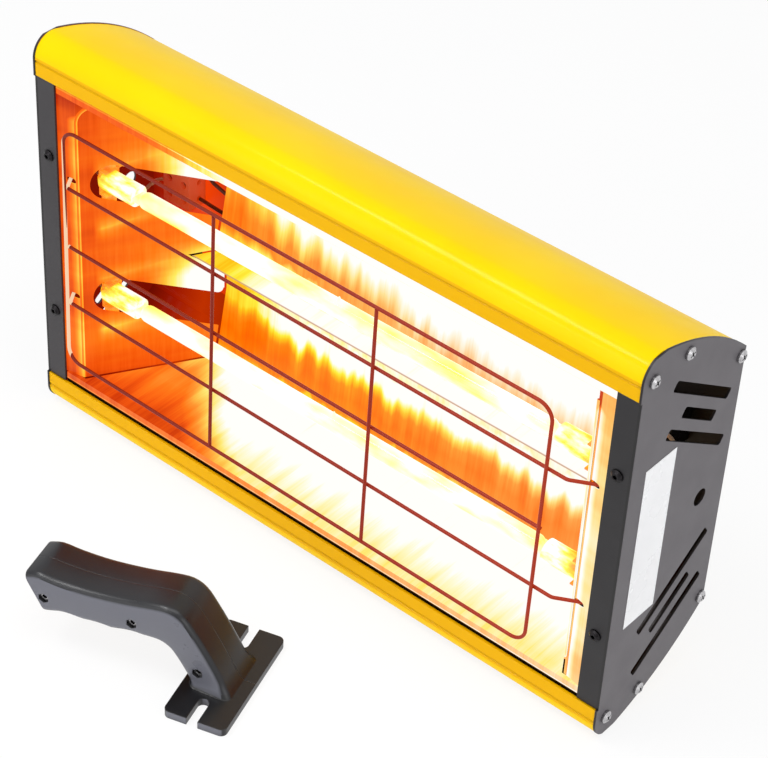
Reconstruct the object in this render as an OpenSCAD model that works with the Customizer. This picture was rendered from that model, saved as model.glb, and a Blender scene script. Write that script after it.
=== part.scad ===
// Hand-held infrared heat lamp with two quartz tubes and its removable handle.
// +X runs along the tubes, -Y is the way the lamp shines, +Z is up.
// The origin is the centre of the handle's bolt pattern, on the back panel's outer face.

/* [Housing] */
// Length over the two end caps
body_l = 440; // [420:1:460]
// Depth from the front plane to the rear edge of the caps
body_d = 100; // [98:0.5:104]
// Height over the rounded front corners
body_h = 274; // [270:1:280]
// Radius of the rounded front corner
corner_r = 14; // [12:0.5:15]
// Radius of the long sloping roof
roof_r = 177; // [165:1:190]
// Wall of the extruded shells
shell_t = 1.8; // [1.5:0.1:2.2]
// Height of the flat front lip below the rounded corner
lip_h = 11; // [9:0.5:12]
// Sheet thickness of the end caps
cap_t = 1.5; // [1.2:0.1:1.8]
// Width of the front flange of an end cap
flange_w = 15.5; // [14:0.5:17]
// Sheet thickness of the back panel
panel_t = 1.2; // [1:0.1:1.4]

/* [Vents and screws] */
// Width of a vent slot
vent_w = 6.8; // [5:0.2:7.5]
// Slope of the vent slots in degrees
vent_slope = 34; // [28:1:38]
// Distance between neighbouring vent slots, measured upright
vent_pitch = 16.4; // [15:0.2:17]
// Radius of the stand hole in each end cap
stand_hole_r = 5.5; // [4:0.25:6]
// Radius of a pan head screw's head
pan_r = 3.9; // [3.5:0.1:4.2]

/* [Tubes and reflectors] */
// Distance between the axes of the two quartz tubes
tube_pitch = 85; // [80:1:90]
// Depth of the tube axis behind the front plane
tube_y = 24; // [22:0.5:26]
// Radius of the quartz tube
quartz_r = 5.5; // [4.5:0.25:6]
// Length of the quartz tube between its ceramic ends
quartz_l = 318; // [310:1:322]
// Radius of a ceramic tube end
ceramic_r = 7; // [6:0.25:7.5]
// Depth of the deepest line of the reflector
trough_y = 82; // [78:0.5:84]
// Depth of the middle ridge of the reflector
ridge_y = 65; // [60:0.5:70]
// Sheet thickness of the reflectors
sheet_t = 0.8; // [0.6:0.1:1]

/* [Wire guard] */
// Diameter of the guard's wire
wire_d = 2.2; // [1.8:0.1:2.6]
// Width of the guard's frame, centre to centre
guard_w = 363; // [355:1:366]
// Distance between neighbouring long wires
guard_pitch = 43.35; // [42:0.05:44]
// How far the frame stands in front of the front plane
guard_out = 4.7; // [4:0.1:6]
// How far the frame sits to the left, as its left hooks are shorter
guard_shift = 11.3; // [9:0.1:12]
// Droop of the frame to the right in its loose hook holes, in degrees
guard_droop = 0.7; // [0:0.1:0.8]

/* [Handle] */
// Length of the handle's foot plate, which is across the grip
foot_l = 82; // [78:1:88]
// Width of the foot plate
foot_w = 39; // [37:0.5:42]
// Thickness of the foot plate
foot_t = 5; // [4:0.25:6]
// Width of the grip
grip_w = 34; // [31:0.5:36]
// Wall of the handle's two half shells
grip_wall = 3; // [2.5:0.1:3.5]
// Width of the open slots in the foot plate
foot_slot_w = 7; // [6.5:0.1:7.5]
// Distance between the two handle bolts in the back panel
handle_bolt_pitch = 62; // [60:1:64]
// Turn of the loose handle on the bench, in degrees
handle_turn = 17.2; // [15:0.1:20]

/* [Switches and cable entry] */
// Upright distance between the two rocker switches
switch_pitch = 56; // [44:1:70]
// Swing of a rocker between on and off, in degrees
rocker_swing = 22; // [18:1:24]
// Radius of the cable bore in the gland
cable_bore_r = 4; // [3:0.25:4.5]

/* [Hidden] */
$fn = 48;

// Depth of the back panel's outer face behind the front plane
panel_y = body_d - 1.5;
half_l = body_l / 2;
half_h = body_h / 2;
// Upright place of the front corner's centre
corner_z = half_h - corner_r;
// Angle at which the corner arc runs into the roof arc
roof_start = 77.4;
roof_cy = corner_r - (roof_r - corner_r) * cos(roof_start);
roof_cz = corner_z - (roof_r - corner_r) * sin(roof_start);
lip_z = corner_z - lip_h;
// Ends of the shells, inside the end caps
shell_x = half_l - cap_t;
tube_z = tube_pitch / 2;
// Upright edge of the back panel
panel_z = 82;
// Screws of an end cap, as depth and height, which are mirrored below
cap_screw_yz = [[9.1, 122], [40.2, 122.4], [95.2, 88.6]];
port_r = 3.4;
port_bore_r = 1.75;
flange_screw_x = half_l - 9;
flange_screw_z = 58.3;
// Lengths of the three vent slots of a group, from the outer one in
vent_l = [70, 40, 71];
vent_top_z = 85.6;
vent_mid_y = 60.5;
stand_hole_y = 76;
label_y = 14.5;
label_w = 28;
label_h = 115;
// Depth of the cap's front flange
flange_y = 1.2;
// Corner points of an end reflector, as length from the middle and depth
tab_x = half_l - 3;
tab_y = flange_y + cap_t + 0.1;
step_x = half_l - 15;
bend_x = 191.5;
bend_y = 5.4;
slant = atan(0.605);
end_slot_w = 25;
end_slot_slope = 20;
// Place of an end slot's round front end along the slanted wall
end_slot_s = 20;
// Place along the wall of the corners above the slots' mouths, and their radius
end_tip_s = 91.2;
tip_r = 3;
hem_y = 2.4;
bead_r = 1;
// Where the guard's hooks pass the end reflectors' strips, and how much higher the left ones are
hook_x = 196.2;
hook_rise = 2.4;
ceramic_l = 27;
ceramic_x = quartz_l / 2 + ceramic_l / 2;
clip_x = 185;
guard_y = -guard_out;
switch_x = 184;
gland_x = -184;
gland_z = -52;
panel_screw_x = [-150, 0, 150];
handle_at = [34, -105 - panel_y, -half_h];

// Height of a slot's upper edge over the tube's axis, at place s along the wall
function end_slot_z(s) = end_slot_w / 2 / cos(end_slot_slope) - tan(end_slot_slope) * (s - end_slot_s);
function reversed(p) = [for (i = [len(p) - 1:-1:0]) p[i]];

// Section of the two troughs as depth and height, from the top edge down to the bottom edge
reflector_z = 105;
trough_line = [
    [hem_y, reflector_z], [trough_y - 3, reflector_z - 0.6], [trough_y + 2.5, 50],
    [trough_y + 2.5, 32], [trough_y - 3, -20.4], [ridge_y, -21], [trough_y + 2.5, -38],
    [trough_y + 2.5, -50], [trough_y - 3, 0.6 - reflector_z], [hem_y, -reflector_z]];
// Unit normal of the piece of a line from point i to the next, to its left
function edge_normal(p, i) = let (d = p[i + 1] - p[i]) [-d[1], d[0]] / norm(d);
// A line of points moved to its left by t, with sharp corners
function moved(p, t) = [for (i = [0:len(p) - 1]) let (
    a = edge_normal(p, max(i - 1, 0)),
    b = edge_normal(p, min(i, len(p) - 2)))
    p[i] + t * (a + b) / (1 + a * b)];

// Catmull-Rom point between p1 and p2
function spline(p0, p1, p2, p3, t) =
    0.5 * (2 * p1 + (p2 - p0) * t + (2 * p0 - 5 * p1 + 4 * p2 - p3) * t * t
    + (3 * p1 - p0 - 3 * p2 + p3) * t * t * t);
function smooth_path(p, n) = concat(
    [for (i = [0:len(p) - 2], j = [0:n - 1])
        spline(p[max(i - 1, 0)], p[i], p[i + 1], p[min(i + 2, len(p) - 1)], j / n)],
    [p[len(p) - 1]]);

// Draws its children in the lamp's own frame, where depth starts at the front plane
module in_lamp() {
    translate([0, -panel_y, 0]) children();
}

// Extrudes a shape drawn as depth and height along X, centred on the middle
module along_x(length) {
    rotate([90, 0, 90]) translate([0, 0, -length / 2]) linear_extrude(length) children();
}

module mirror_z() {
    children();
    mirror([0, 0, 1]) children();
}

// A closed skin over rings of points that all have the same count
module skin(rings) {
    m = len(rings[0]);
    n = len(rings);
    sides = [for (i = [0:n - 2], j = [0:m - 1], k = [0:1]) let (
        a = i * m + j, b = i * m + (j + 1) % m, c = a + m, d = b + m)
        k == 0 ? [a, b, d] : [a, d, c]];
    polyhedron(
        points = [for (r = rings, q = r) q],
        faces = concat(sides, [[for (j = [m - 1:-1:0]) j]], [[for (j = [0:m - 1]) (n - 1) * m + j]]),
        convexity = 6);
}

// A wire of radius r along a smooth path, with its ends square to X
module wire(points, r, steps = 4, sides = 8) {
    path = smooth_path(points, steps);
    last = len(path) - 1;
    skin([for (i = [0:last]) let (
        d = i == 0 ? path[1] - path[0] : i == last ? path[last] - path[last - 1] : path[i + 1] - path[i - 1],
        t = d / norm(d),
        up = abs(t[2]) > 0.9 ? [0, 1, 0] : [0, 0, 1],
        a = cross(t, up) / norm(cross(t, up)),
        b = cross(t, a))
        [for (k = [0:sides - 1]) path[i] + r * (cos(-360 * k / sides) * a + sin(-360 * k / sides) * b)]]);
}

// Housing

// The room under the roof line as depth and height, moved inward by inset
module under_roof(inset, z0, y_end) {
    intersection() {
        union() {
            intersection() {
                translate([roof_cy, roof_cz]) circle(roof_r - inset, $fn = 240);
                polygon([for (a = [0, roof_start, 50, 10, -30])
                    [roof_cy, roof_cz] + (a == 0 ? 0 : 2 * roof_r) * [cos(a), sin(a)]]);
            }
            translate([corner_r, corner_z]) circle(corner_r - inset, $fn = 96);
            translate([inset, z0]) square([corner_r, corner_z - z0]);
        }
        translate([inset, z0]) square([y_end - inset, half_h]);
    }
}

module shell_section() {
    difference() {
        union() {
            difference() {
                under_roof(0.3, panel_z + 1.5, body_d - 3.2);
                under_roof(0.3 + shell_t, panel_z, body_d - 5);
                translate([-1, 0]) square([6, lip_z]);
            }
            for (s = cap_screw_yz) translate(s) circle(port_r);
            // Webs that tie the screw ports to the wall
            translate([1.5, 120.6]) square([5, 2.8]);
            translate([38.8, 124]) square([2.8, 4.4]);
            // Seat for the back panel, below the rear port
            translate([body_d - 4.8, panel_z - 12]) square([2.1, 16]);
        }
        for (s = cap_screw_yz) translate(s) circle(port_bore_r);
        // Groove along the lip, where the corner begins
        translate([0, corner_z - 1.5]) circle(0.9);
    }
}

module shell_solid() {
    difference() {
        along_x(2 * shell_x) shell_section();
        for (x = panel_screw_x) {
            translate([x, body_d - 6, panel_z - 6]) rotate([-90, 0, 0]) cylinder(r = 1.6, h = 8);
        }
    }
}

module top_shell() {
    color("gold") in_lamp() shell_solid();
}

module bottom_shell() {
    color("gold") in_lamp() mirror([0, 0, 1]) shell_solid();
}

module cap_outline() {
    under_roof(0, -1, body_d - 0.4);
    mirror([0, 1]) under_roof(0, -1, body_d - 0.4);
}

module rounded_slot(length, width, r = 1.8) {
    square([length - 2 * r, width], center = true);
    square([length, width - 2 * r], center = true);
    for (x = [-1, 1], y = [-1, 1]) {
        translate([x * (length / 2 - r), y * (width / 2 - r)]) circle(r);
    }
}

// One end cap at the right end, its plate, front flange and all of its holes
module cap_solid() {
    difference() {
        union() {
            translate([half_l - cap_t / 2, 0, 0]) along_x(cap_t) cap_outline();
            translate([half_l - flange_w, flange_y, -lip_z + 0.5]) cube([flange_w, cap_t, 2 * lip_z - 1]);
        }
        translate([half_l - 2 * cap_t, -1, -lip_z + 0.5]) cube([3 * cap_t, 1 + flange_y, 2 * lip_z - 1]);
        translate([half_l - cap_t / 2, 0, 0]) along_x(3 * cap_t) {
            for (m = [-1, 1]) {
                for (s = cap_screw_yz) translate([s[0], m * s[1]]) circle(2.1);
                for (i = [0:2]) {
                    translate([vent_mid_y, m * (vent_top_z - i * vent_pitch)])
                        rotate(-m * vent_slope) rounded_slot(vent_l[i], vent_w);
                }
            }
            translate([stand_hole_y, 0]) circle(stand_hole_r);
        }
        for (m = [-1, 1]) {
            translate([flange_screw_x, 0, m * flange_screw_z]) rotate([-90, 0, 0]) cylinder(r = 2.1, h = 4);
        }
    }
}

module right_end_cap() {
    color("dimgray") in_lamp() cap_solid();
}

module left_end_cap() {
    color("dimgray") in_lamp() mirror([1, 0, 0]) cap_solid();
}

// Pan head screw with a cross recess, its head's seat at z = 0 and its shank below
module pan_screw(head_r, shank_r, shank_l) {
    head_h = head_r * 0.66;
    difference() {
        union() {
            cylinder(r = head_r, h = head_h * 0.55);
            translate([0, 0, head_h * 0.55]) cylinder(r1 = head_r, r2 = head_r * 0.62, h = head_h * 0.45);
            translate([0, 0, -shank_l]) cylinder(r = shank_r, h = shank_l);
        }
        for (a = [0, 90]) rotate(a) translate([0, 0, head_h]) cube([head_r * 1.1, 0.9, head_h * 1.1], center = true);
    }
}

// Button head screw with a six-sided socket
module button_screw(head_r, shank_r, shank_l) {
    head_h = head_r * 0.58;
    difference() {
        union() {
            cylinder(r = head_r, h = head_h * 0.35);
            translate([0, 0, head_h * 0.35]) cylinder(r1 = head_r, r2 = head_r * 0.55, h = head_h * 0.65);
            translate([0, 0, -shank_l]) cylinder(r = shank_r, h = shank_l);
        }
        translate([0, 0, head_h * 0.3]) cylinder(r = 1.45, h = head_h, $fn = 6);
    }
}

module cap_screw_group() {
    for (m = [-1, 1], s = cap_screw_yz) {
        translate([half_l, s[0], m * s[1]]) rotate([0, 90, 0]) rotate(25) pan_screw(pan_r, 1.7, 14);
    }
}

module right_cap_screws() {
    color("silver") in_lamp() cap_screw_group();
}

module left_cap_screws() {
    color("silver") in_lamp() mirror([1, 0, 0]) cap_screw_group();
}

module flange_screw_group() {
    for (m = [-1, 1]) {
        translate([flange_screw_x, flange_y, m * flange_screw_z]) rotate([90, 0, 0]) button_screw(3.8, 1.9, 7);
    }
}

module right_flange_screws() {
    color("black") in_lamp() flange_screw_group();
}

module left_flange_screws() {
    color("black") in_lamp() mirror([1, 0, 0]) flange_screw_group();
}

module back_panel() {
    color("dimgray") in_lamp() difference() {
        translate([-shell_x, panel_y - panel_t, -panel_z]) cube([2 * shell_x, panel_t, 2 * panel_z]);
        translate([0, panel_y - 5, 0]) rotate([-90, 0, 0]) {
            for (x = [-1, 1]) translate([x * handle_bolt_pitch / 2, 0, 0]) cylinder(r = 3.2, h = 10);
            for (x = panel_screw_x, m = [-1, 1]) translate([x, m * (panel_z - 6), 0]) cylinder(r = 2, h = 10);
            translate([gland_x, -gland_z, 0]) cylinder(r = 8.1, h = 10);
            translate([-150, 40, 0]) cylinder(r = 2.1, h = 10);
        }
        for (m = [-1, 1]) {
            translate([switch_x, panel_y, m * switch_pitch / 2]) cube([22.1, 10, 28.1], center = true);
        }
        // Air slots between the handle and the switches
        for (x = [-100:12:-52], z = [-1, 1]) {
            translate([x, panel_y, z * 45]) rotate([-90, 0, 0]) air_slot();
        }
        for (x = [52:12:100], z = [-1, 1]) {
            translate([x, panel_y, z * 45]) rotate([-90, 0, 0]) air_slot();
        }
    }
}

// Upright air slot with round ends, drawn around the origin
module air_slot(length = 36, width = 4) {
    translate([0, 0, -5]) linear_extrude(10) {
        square([width, length - width], center = true);
        for (m = [-1, 1]) translate([0, m * (length - width) / 2]) circle(width / 2);
    }
}

module back_panel_screws() {
    color("black") in_lamp() for (x = panel_screw_x, m = [-1, 1]) {
        translate([x, panel_y, m * (panel_z - 6)]) rotate([-90, 0, 0]) pan_screw(3.2, 1.5, 4.5);
    }
}

// Weld nuts behind the back panel that take the handle's M6 bolts
module handle_weld_nuts() {
    color("silver") in_lamp() for (x = [-1, 1]) {
        translate([x * handle_bolt_pitch / 2, panel_y - panel_t, 0]) rotate([90, 0, 0]) difference() {
            cylinder(r = 5.8, h = 5, $fn = 6);
            translate([0, 0, -1]) cylinder(r = 3.2, h = 7);
        }
    }
}

module rating_label() {
    color("white") in_lamp() translate([half_l, label_y, -label_h / 2]) cube([0.25, label_w, label_h]);
}

// Reflectors and tubes

// The room inside the folded reflector, as depth and height, moved inward by gap
module trough_room(gap) {
    edge = reflector_z - gap;
    polygon(concat([[-30, -edge], [-30, edge]], moved(trough_line, -gap)));
}

// Outline, from above, of what lies between the two slanted end walls
module between_ends(gap) {
    rear_x = bend_x - (trough_y + 4 - bend_y) * tan(slant) - gap;
    polygon([
        [-step_x + 1, -1], [-step_x + 1, bend_y], [-bend_x + gap, bend_y],
        [-rear_x, trough_y + 4], [rear_x, trough_y + 4],
        [bend_x - gap, bend_y], [step_x - 1, bend_y], [step_x - 1, -1]]);
}

module main_reflector() {
    color("silver") in_lamp() intersection() {
        union() {
            difference() {
                along_x(2 * step_x) trough_room(-sheet_t);
                along_x(3 * step_x) trough_room(0);
                translate([-body_l, -100 + hem_y, -half_h]) cube([2 * body_l, 100, body_h]);
            }
            // Front hems that stand behind the shells' lips
            mirror_z() translate([-step_x, hem_y, reflector_z]) cube([2 * step_x, sheet_t, 12.7]);
        }
        translate([0, 0, -half_h]) linear_extrude(body_h) between_ends(1.2);
    }
}

// Local frame of the left slanted wall, with Y along the wall and Z up
module on_left_wall() {
    translate([-bend_x, bend_y, 0]) rotate([0, 0, -slant]) children();
}

// The pressing as seen from above: front tab, sloped strip, bend and slanted wall
module end_reflector_section() {
    wall_l = (trough_y + 2 - bend_y) / cos(slant);
    line = [[-tab_x, tab_y], [-step_x, tab_y], [-bend_x, bend_y],
        [-bend_x, bend_y] + wall_l * [sin(slant), cos(slant)]];
    polygon(concat(line, reversed(moved(line, sheet_t))));
}

// Pressed bead along the bend, with a round corner to the top edge
module bead() {
    translate([-bend_x, bend_y, -96]) cylinder(r = bead_r, h = 184);
    on_left_wall() translate([0, 10, 88]) rotate([90, 0, -90]) {
        rotate_extrude(angle = 90) translate([10, 0]) circle(bead_r);
        translate([0, 10, 0]) rotate([0, -90, 0]) cylinder(r = bead_r, h = 40);
    }
}

// What is taken off the sharp corner above a slot's mouth to round it
module tip_corner() {
    tip = [end_tip_s - tip_r, end_slot_z(end_tip_s - tip_r) + tip_r / cos(end_slot_slope)];
    difference() {
        polygon([
            tip, tip + [tip_r + 2, 0], [end_tip_s + 2, end_slot_z(end_tip_s + 2) - 1],
            tip - tip_r * 1.02 * [sin(end_slot_slope), cos(end_slot_slope)]]);
        translate(tip) circle(tip_r);
    }
}

module end_reflector_solid() {
    difference() {
        intersection() {
            union() {
                translate([0, 0, -106]) linear_extrude(212) end_reflector_section();
                bead();
            }
            along_x(2 * body_l) trough_room(0.5);
        }
        on_left_wall() for (m = [-1, 1]) {
            translate([2, end_slot_s, m * tube_z]) rotate([-end_slot_slope, 0, 0]) rotate([0, -90, 0]) {
                cylinder(r = end_slot_w / 2, h = 4);
                translate([-end_slot_w / 2, 0, 0]) cube([end_slot_w, 90, 4]);
            }
            translate([-2, 0, m * tube_z]) rotate([90, 0, 90]) linear_extrude(4) tip_corner();
        }
        // Holes for the guard's hooks and for the flange screws
        for (m = [-1, 1]) {
            translate([-hook_x, 0, m * guard_pitch + hook_rise]) rotate([-90, 0, 0]) {
                for (x = [-1.6, 1.6]) translate([x, 0, 0]) cylinder(r = 1.9, h = 12);
                translate([-1.6, -1.9, 0]) cube([3.2, 3.8, 12]);
            }
            translate([-flange_screw_x, 0, m * flange_screw_z]) rotate([-90, 0, 0]) cylinder(r = 2, h = 6);
        }
    }
}

module left_end_reflector() {
    color("silver") in_lamp() end_reflector_solid();
}

// The same pressing, turned half round to the other end
module right_end_reflector() {
    color("silver") in_lamp() rotate([0, 180, 0]) end_reflector_solid();
}

module at_tube(side) {
    in_lamp() translate([0, tube_y, side * tube_z]) rotate([0, 90, 0]) children();
}

// Quartz envelope with flat pinched ends and the sealed tip of its filling tube
module quartz_tube() {
    difference() {
        union() {
            translate([0, 0, -quartz_l / 2 + 8]) cylinder(r = quartz_r, h = quartz_l - 16);
            for (m = [-1, 1]) {
                translate([0, 0, m * (quartz_l / 2 - 8)]) sphere(quartz_r);
                translate([0, 0, m * (quartz_l / 2 - 4 + 3)]) cube([2.4, 2 * quartz_r - 1, 14], center = true);
            }
            translate([-quartz_r + 0.5, 0, 0]) rotate([0, -90, 0]) cylinder(r1 = 1.6, r2 = 0.5, h = 3.4);
        }
        translate([0, 0, -quartz_l / 2 + 9]) cylinder(r = quartz_r - 1, h = quartz_l - 18);
    }
}

module upper_quartz_tube() {
    color("orange") at_tube(1) quartz_tube();
}

module lower_quartz_tube() {
    color("orange") at_tube(-1) quartz_tube();
}

// The coil's outer shape on its rod, with the discs that hold it in the middle of the tube
module filament() {
    run = quartz_l - 34;
    translate([0, 0, -run / 2]) cylinder(r = 1.4, h = run);
    for (i = [-3:3]) translate([0, 0, i * run / 7 - 0.3]) cylinder(r = quartz_r - 1.3, h = 0.6);
}

module upper_filament() {
    color("yellow") at_tube(1) filament();
}

module lower_filament() {
    color("yellow") at_tube(-1) filament();
}

// Both ceramic ends of one tube, each with a slot for the pinched quartz
module tube_ceramics() {
    for (m = [0, 1]) mirror([0, 0, m]) translate([0, 0, quartz_l / 2]) difference() {
        union() {
            cylinder(r = ceramic_r, h = ceramic_l);
            translate([0, 0, ceramic_l]) cylinder(r1 = ceramic_r, r2 = 3.5, h = 4);
        }
        translate([0, 0, 3]) cube([2.8, 2 * quartz_r - 0.6, 12.4], center = true);
        translate([0, 0, ceramic_l - 4]) cylinder(r = 1.5, h = 12);
    }
}

module upper_tube_ceramics() {
    color("ivory") at_tube(1) tube_ceramics();
}

module lower_tube_ceramics() {
    color("ivory") at_tube(-1) tube_ceramics();
}

// One steel clip behind the left end wall, its ears against the wall beside the slot
module left_clip() {
    difference() {
        union() {
            translate([-clip_x - 1.2, tube_y - 6, -9]) cube([1.2, 16, 18]);
            for (m = [-1, 1]) {
                translate([-clip_x - 1.2, tube_y - 6, m * 8.5 - 0.5]) cube([6.2, 16, 1]);
                on_left_wall() translate([-sheet_t - 1.7, 15, m * 13.2 - 5.2]) cube([1.2, 9, 10.4]);
            }
        }
        translate([-clip_x - 5, tube_y, 0]) rotate([0, 90, 0]) cylinder(r = ceramic_r + 0.05, h = 9);
    }
}

// Both clips of one tube, which stand in the end walls' slots and carry the ceramics
module tube_clip_pair(side) {
    translate([0, 0, side * tube_z]) {
        left_clip();
        mirror([1, 0, 0]) left_clip();
    }
}

module upper_tube_clips() {
    color("peru") in_lamp() tube_clip_pair(1);
}

module lower_tube_clips() {
    color("peru") in_lamp() tube_clip_pair(-1);
}

// Wire guard

guard_half_w = guard_w / 2;
guard_half_h = 2 * guard_pitch;
guard_corner_r = 10;

module in_guard() {
    in_lamp() translate([-guard_shift, guard_y, 0]) rotate([0, guard_droop, 0]) children();
}

module guard_frame() {
    color("firebrick") in_guard() {
        for (m = [-1, 1]) {
            translate([m * guard_half_w, 0, -guard_half_h + guard_corner_r])
                cylinder(d = wire_d, h = 2 * (guard_half_h - guard_corner_r), $fn = 24);
            translate([-guard_half_w + guard_corner_r, 0, m * guard_half_h])
                rotate([0, 90, 0]) cylinder(d = wire_d, h = 2 * (guard_half_w - guard_corner_r), $fn = 24);
        }
        for (a = [0:3]) {
            sx = a < 2 ? 1 : -1;
            sz = a % 2 == 0 ? 1 : -1;
            translate([sx * (guard_half_w - guard_corner_r), 0, sz * (guard_half_h - guard_corner_r)])
                mirror([sx < 0 ? 1 : 0, 0, 0]) mirror([0, 0, sz < 0 ? 1 : 0])
                rotate([90, 0, 0]) rotate_extrude(angle = 90, $fn = 64)
                translate([guard_corner_r, 0]) circle(d = wire_d, $fn = 24);
        }
    }
}

// Bend by angle a and straight leg, which go on from the end of a wire along X
module hook(a, bend_r, leg) {
    translate([0, bend_r, 0]) rotate([0, 0, -90]) {
        rotate_extrude(angle = a, $fn = 64) translate([bend_r, 0]) circle(d = wire_d, $fn = 24);
        rotate(a) translate([bend_r, 0, 0]) rotate([-90, 0, 0]) cylinder(d = wire_d, h = leg, $fn = 24);
    }
}

// The three long wires, welded behind the frame; the outer two carry the hooks
module guard_rods() {
    right_end = guard_half_w + 11;
    left_end = -guard_half_w + 1.5;
    color("firebrick") in_guard() translate([0, wire_d + 0.02, 0]) {
        for (i = [-1, 1]) translate([0, 0, i * guard_pitch]) {
            translate([left_end, 0, 0]) rotate([0, 90, 0]) cylinder(d = wire_d, h = right_end - left_end, $fn = 24);
            translate([right_end, 0, 0]) hook(30, 6, 29);
            translate([left_end, 0, 0]) mirror([1, 0, 0]) hook(57, 3, 11);
        }
        translate([-guard_half_w, 0, 0]) rotate([0, 90, 0]) cylinder(d = wire_d, h = guard_w, $fn = 24);
    }
}

module guard_crossbars() {
    reach = guard_half_h - wire_d / 2 - 0.02;
    color("firebrick") in_guard() for (m = [-1, 1]) {
        translate([m * guard_w / 6, 0, -reach]) cylinder(d = wire_d, h = 2 * reach, $fn = 24);
    }
}

// Switches, cable entry and wiring

// Local frame of a switch, with Z out of the back panel and Y up
module at_switch(side) {
    in_lamp() translate([switch_x, panel_y, side * switch_pitch / 2]) rotate([90, 0, 180]) children();
}

pivot_z = -3;
well_w = 15;
well_h = 24.6;

module switch_housing() {
    difference() {
        union() {
            translate([-12.5, -15.5, 0]) cube([25, 31, 2]);
            translate([-10.9, -13.9, -20]) cube([21.8, 27.8, 21]);
            for (x = [-5, 5], y = [-9, 9]) translate([x - 2.4, y - 0.4, -28]) cube([4.8, 0.8, 9]);
        }
        translate([-well_w / 2, -well_h / 2, -16]) cube([well_w, well_h, 20]);
        translate([-well_w / 2 - 1.2, 0, pivot_z]) rotate([0, 90, 0]) cylinder(r = 1.25, h = well_w + 2.4);
    }
}

// Rocker that rests pressed in at its top, which is on
module rocker() {
    translate([0, 0, pivot_z]) rotate([-rocker_swing / 2, 0, 0]) {
        rotate([90, 0, 90]) translate([0, 0, -7.2]) linear_extrude(14.4)
            polygon([[-9.8, 6.6], [0, 4.6], [9.8, 6.6], [9.2, 1.5], [6, -4], [-6, -4], [-9.2, 1.5]]);
        translate([-8.4, 0, 0]) rotate([0, 90, 0]) cylinder(r = 1.2, h = 16.8);
    }
}

module upper_switch_housing() {
    color("black") at_switch(1) switch_housing();
}

module lower_switch_housing() {
    color("black") at_switch(-1) switch_housing();
}

module upper_rocker() {
    color("red") at_switch(1) rocker();
}

module lower_rocker() {
    color("red") at_switch(-1) rocker();
}

// Local frame of the gland, with Z out of the back panel
module at_gland() {
    in_lamp() translate([gland_x, panel_y, gland_z]) rotate([-90, 0, 0]) children();
}

module gland_body() {
    color("black") at_gland() difference() {
        union() {
            translate([0, 0, -12]) cylinder(r = 8, h = 12);
            cylinder(r = 11, h = 5, $fn = 6);
            translate([0, 0, 5]) cylinder(r = 7.6, h = 9);
        }
        translate([0, 0, -13]) cylinder(r = cable_bore_r, h = 30);
    }
}

module gland_cap() {
    color("black") at_gland() difference() {
        union() {
            translate([0, 0, 5.2]) cylinder(r = 10.5, h = 8);
            translate([0, 0, 13.2]) cylinder(r1 = 10.5, r2 = 6.5, h = 6);
            for (a = [0:30:330]) rotate(a) translate([10, -1, 5.2]) cube([1.1, 2, 8]);
        }
        translate([0, 0, 5]) cylinder(r = 7.65, h = 9.5);
        cylinder(r = cable_bore_r + 0.4, h = 30);
    }
}

module gland_locknut() {
    color("black") at_gland() translate([0, 0, -panel_t - 4]) difference() {
        cylinder(r = 11.5, h = 4, $fn = 6);
        translate([0, 0, -1]) cylinder(r = 8.05, h = 6);
    }
}

block_at = [-184, 12];

module terminal_block() {
    color("ivory") in_lamp() translate([block_at[0] - 11, panel_y - panel_t - 15, block_at[1] - 18]) difference() {
        union() {
            cube([22, 15, 36]);
        }
        for (i = [0:2]) {
            translate([5, -1, 6 + 12 * i]) rotate([-90, 0, 0]) cylinder(r = 2.6, h = 8);
            translate([17, -1, 6 + 12 * i]) rotate([-90, 0, 0]) cylinder(r = 2.6, h = 8);
            translate([-1, 9, 6 + 12 * i]) rotate([0, 90, 0]) cylinder(r = 1.8, h = 24);
        }
    }
}

module terminal_screws() {
    color("silver") in_lamp() for (i = [0:2], x = [5, 17]) {
        translate([block_at[0] - 11 + x, panel_y - panel_t - 12, block_at[1] - 12 + 12 * i])
            rotate([-90, 0, 0]) cylinder(r = 2.5, h = 3.9);
    }
}

module earth_stud() {
    color("silver") in_lamp() translate([-150, panel_y, -40]) rotate([90, 0, 0]) {
        translate([0, 0, -2]) cylinder(r = 3.6, h = 2, $fn = 6);
        cylinder(r = 2, h = 12);
        translate([0, 0, panel_t]) cylinder(r = 4, h = 3, $fn = 6);
    }
}

// Short leads from the ceramics, behind the end walls, to the terminal block and the switches
lead_r = 1.2;
lead_y = 60;

module tube_leads() {
    color("white") in_lamp() for (m = [-1, 1]) {
        wire([[-ceramic_x - 17.6, tube_y, m * tube_z], [-203, tube_y + 3, m * tube_z],
            [-209, 40, m * 34], [-209, lead_y, 22 * m + 8], [-206, 87, m * 12 + 12],
            [-195.8, panel_y - panel_t - 6, m * 12 + 12]], lead_r);
        wire([[ceramic_x + 17.6, tube_y, m * tube_z], [203, tube_y + 3, m * tube_z],
            [209, 40, m * 38], [208, lead_y, m * 40], [197, 68, m * 38],
            [190, 68.4, m * 37]], lead_r);
    }
}

// Feeds from the block, behind the reflector, to the other terminal of each switch
module switch_leads() {
    color("brown") in_lamp() for (m = [-1, 1]) {
        wire([[-172.2, panel_y - panel_t - 6, m * 12 + 12], [-166, 91, m * 12 + 12], [-150, 90, m * 8 + 8],
            [-60, 90, m * 4], [60, 90, m * 4], [140, 88, m * 8], [158, 74, m * 12],
            [170, 66, m * 18], [178, 68.4, m * 19]], lead_r);
    }
}

// Handle, in its own frame: X toward the grip's end, Y across, Z up from the foot's underside

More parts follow.
